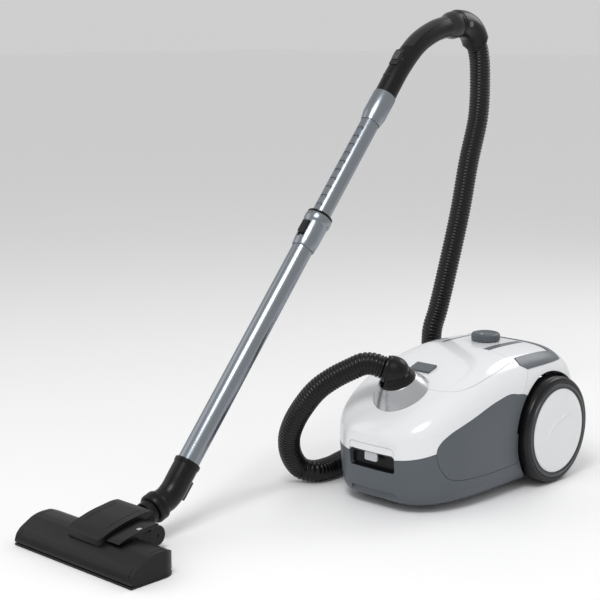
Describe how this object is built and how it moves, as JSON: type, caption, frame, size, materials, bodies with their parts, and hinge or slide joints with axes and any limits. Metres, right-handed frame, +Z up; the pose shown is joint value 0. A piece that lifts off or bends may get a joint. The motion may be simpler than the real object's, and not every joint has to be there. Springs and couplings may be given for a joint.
{
  "type": "canister vacuum cleaner",
  "caption": "Bagged canister vacuum cleaner on two large wheels and a front caster, with a ribbed suction hose, curved handle, telescopic tube and wide floor nozzle.",
  "frame": {"origin": "middle of the footprint of everything but the hose, on the floor", "axes": "+Z up; +Y from the floor nozzle towards the canister's tail; +X towards the canister's left side, away from the tube"},
  "size_m": [0.422, 0.9913, 0.7993],
  "materials": {
    "white_shell": "smooth gloss",
    "slate_plastic": "fine satin grain",
    "black_plastic": "satin, fine spark grain",
    "hose_plastic": "ribbed, semi-gloss",
    "tyre_rubber": "soft satin rubber",
    "wheel_rim": "satin",
    "seal_rubber": "matt rubber",
    "silver_collar": "satin silver",
    "tube_chrome": "polished plating",
    "steel": "brushed",
    "fan_alloy": "turned",
    "bag_fleece": "felted fleece",
    "pale_plastic": "satin",
    "filter_foam": "open foam",
    "circuit_board": "lacquered board",
    "bristle": "black bristle"
  },
  "bodies": {
    "canister": {"lower_shell": "slate_plastic", "top_cover": "white_shell", "rear_grille": "slate_plastic", "side_panel_left": "slate_plastic", "side_panel_right": "slate_plastic", "axle_left": "steel", "axle_right": "steel", "bag_holder": "pale_plastic", "inlet_seal": "seal_rubber", "dust_bag": "bag_fleece", "bulkhead": "slate_plastic", "motor_filter": "filter_foam", "fan_shroud": "steel", "motor_can": "steel", "reel_axle": "steel", "control_board": "circuit_board", "exhaust_filter": "filter_foam", "cord_gland": "seal_rubber", "hose": "hose_plastic", "handle": "black_plastic", "handle_cuff": "black_plastic", "tube_collar": "tube_chrome", "inner_tube": "tube_chrome"},
    "lid": {"lid": "white_shell", "inlet_collar": "silver_collar", "hose_elbow": "black_plastic"},
    "lid_latch": {"lid_latch": "white_shell"},
    "release_tab": {"release_tab": "slate_plastic"},
    "knob": {"knob": "slate_plastic"},
    "carry_handle": {"carry_handle": "slate_plastic"},
    "rewind_pedal": {"rewind_pedal": "slate_plastic"},
    "power_pedal": {"power_pedal": "slate_plastic"},
    "cuff_clip": {"cuff_clip": "black_plastic"},
    "inlet_swivel_ring": {"inlet_swivel_ring": "black_plastic"},
    "left_wheel": {"tyre_left": "tyre_rubber", "wheel_left": "wheel_rim", "hubcap_left": "white_shell"},
    "right_wheel": {"tyre_right": "tyre_rubber", "wheel_right": "wheel_rim", "hubcap_right": "white_shell"},
    "caster": {"caster_fork": "slate_plastic"},
    "caster_wheel": {"caster_wheel": "tyre_rubber"},
    "rotor": {"fan": "fan_alloy"},
    "reel": {"cable_reel": "black_plastic"},
    "air_slider": {"air_slider": "pale_plastic"},
    "cuff_button": {"cuff_button": "pale_plastic"},
    "handle_swivel_ring": {"handle_swivel_ring": "black_plastic"},
    "lower_tube": {"outer_tube": "tube_chrome", "tube_sleeve": "black_plastic", "neck_elbow": "black_plastic"},
    "tube_button": {"tube_button": "black_plastic"},
    "neck_clip": {"neck_clip": "black_plastic"},
    "neck": {"neck_ring": "black_plastic", "yoke": "black_plastic"},
    "nozzle": {"nozzle_housing": "black_plastic", "nozzle_hood": "black_plastic", "sole_plate": "black_plastic"},
    "brush": {"brush_carrier": "bristle"},
    "roller": {"nozzle_roller": "pale_plastic"},
    "nozzle_pedal": {"nozzle_pedal": "black_plastic"}
  },
  "joints": [
    {"name": "lid_hinge", "type": "hinge", "parent": "canister", "child": "lid", "pos_m": [0.067, 0.26137, 0.2314], "axis": [-1, 0, 0], "range_deg": [0, 55], "deforming": ["hose"]},
    {"name": "lid_latch_pivot", "type": "hinge", "parent": "lid", "child": "lid_latch", "pos_m": [0.067, 0.01207, 0.1075], "axis": [-1, 0, 0], "range_deg": [0, 25], "stiffness_Nm_per_rad": 0.2, "springref_deg": -11.46},
    {"name": "release_tab_slide", "type": "slide", "parent": "lid", "child": "release_tab", "axis": [0, 0.9701, 0.2425], "range_m": [0, 0.003], "stiffness_N_per_m": 300, "springref_m": -0.002},
    {"name": "knob_turn", "type": "hinge", "parent": "canister", "child": "knob", "pos_m": [0.067, 0.31987, 0.233], "axis": [0, 0, 1], "range_deg": [-135, 135]},
    {"name": "carry_handle_pivot", "type": "hinge", "parent": "canister", "child": "carry_handle", "pos_m": [0.067, 0.28187, 0.216], "axis": [1, 0, 0], "range_deg": [0, 75]},
    {"name": "rewind_pedal_press", "type": "slide", "parent": "canister", "child": "rewind_pedal", "axis": [0, 0, -1], "range_m": [0, 0.003], "stiffness_N_per_m": 800, "springref_m": -0.001},
    {"name": "power_pedal_press", "type": "slide", "parent": "canister", "child": "power_pedal", "axis": [0, 0, -1], "range_m": [0, 0.003], "stiffness_N_per_m": 800, "springref_m": -0.001},
    {"name": "cuff_clip_press", "type": "slide", "parent": "lid", "child": "cuff_clip", "axis": [-0.9786, -0.0499, 0.1997], "range_m": [0, 0.0015], "stiffness_N_per_m": 300, "springref_m": -0.001},
    {"name": "inlet_swivel", "type": "hinge", "parent": "lid", "child": "inlet_swivel_ring", "pos_m": [0.0598, 0.06765, 0.22091], "axis": [-0.7998, -0.5199, 0.2999], "continuous": true},
    {"name": "left_wheel_spin", "type": "hinge", "parent": "canister", "child": "left_wheel", "pos_m": [0.193, 0.34087, 0.0917], "axis": [1, 0, 0], "continuous": true},
    {"name": "right_wheel_spin", "type": "hinge", "parent": "canister", "child": "right_wheel", "pos_m": [-0.059, 0.34087, 0.0917], "axis": [1, 0, 0], "continuous": true},
    {"name": "caster_swivel", "type": "hinge", "parent": "canister", "child": "caster", "pos_m": [0.067, 0.07787, 0.02], "axis": [0, 0, 1], "continuous": true},
    {"name": "caster_roll", "type": "hinge", "parent": "caster", "child": "caster_wheel", "pos_m": [0.067, 0.08287, 0.013], "axis": [1, 0, 0], "continuous": true},
    {"name": "fan_spin", "type": "hinge", "parent": "canister", "child": "rotor", "pos_m": [0.027, 0.30587, 0.084], "axis": [0, 1, 0], "continuous": true},
    {"name": "reel_spin", "type": "hinge", "parent": "canister", "child": "reel", "pos_m": [0.123, 0.34387, 0.092], "axis": [1, 0, 0], "continuous": true},
    {"name": "air_slider_slide", "type": "slide", "parent": "canister", "child": "air_slider", "axis": [0, 0.6468, 0.7627], "range_m": [-0.006, 0.006]},
    {"name": "cuff_button_press", "type": "slide", "parent": "canister", "child": "cuff_button", "axis": [-1, 0, 0], "range_m": [0, 0.0015], "stiffness_N_per_m": 300, "springref_m": -0.001},
    {"name": "handle_swivel", "type": "hinge", "parent": "canister", "child": "handle_swivel_ring", "pos_m": [-0.076, 0.46387, 0.744], "axis": [0, 0.5, -0.866], "continuous": true},
    {"name": "telescope", "type": "slide", "parent": "canister", "child": "lower_tube", "axis": [0, 0.6468, 0.7627], "range_m": [-0.18, 0.17]},
    {"name": "tube_button_slide", "type": "slide", "parent": "lower_tube", "child": "tube_button", "axis": [0, -0.6468, -0.7627], "range_m": [0, 0.0045], "stiffness_N_per_m": 300, "springref_m": -0.001},
    {"name": "neck_clip_press", "type": "slide", "parent": "lower_tube", "child": "neck_clip", "axis": [0, -0.7627, 0.6468], "range_m": [0, 0.0015], "stiffness_N_per_m": 300, "springref_m": -0.001},
    {"name": "neck_swivel", "type": "hinge", "parent": "lower_tube", "child": "neck", "pos_m": [-0.076, -0.31913, 0.052], "axis": [0, -0.9397, -0.342], "range_deg": [-60, 60]},
    {"name": "nozzle_tilt", "type": "hinge", "parent": "neck", "child": "nozzle", "pos_m": [-0.076, -0.35713, 0.024], "axis": [1, 0, 0], "range_deg": [-12, 35]},
    {"name": "nozzle_pedal_rock", "type": "hinge", "parent": "nozzle", "child": "nozzle_pedal", "pos_m": [-0.019, -0.44613, 0.043], "axis": [-1, 0, 0], "range_deg": [0, 5]},
    {"name": "brush_lift", "type": "slide", "parent": "nozzle", "child": "brush", "axis": [0, 0, -1], "range_m": [0, 0.006]},
    {"name": "roller_spin", "type": "hinge", "parent": "nozzle", "child": "roller", "pos_m": [-0.076, -0.40863, 0.0078], "axis": [1, 0, 0], "continuous": true}
  ],
  "couplings": [
    {"joint": "brush_lift", "follows": "nozzle_pedal_rock", "m_per_rad": 0.0573}
  ]
}
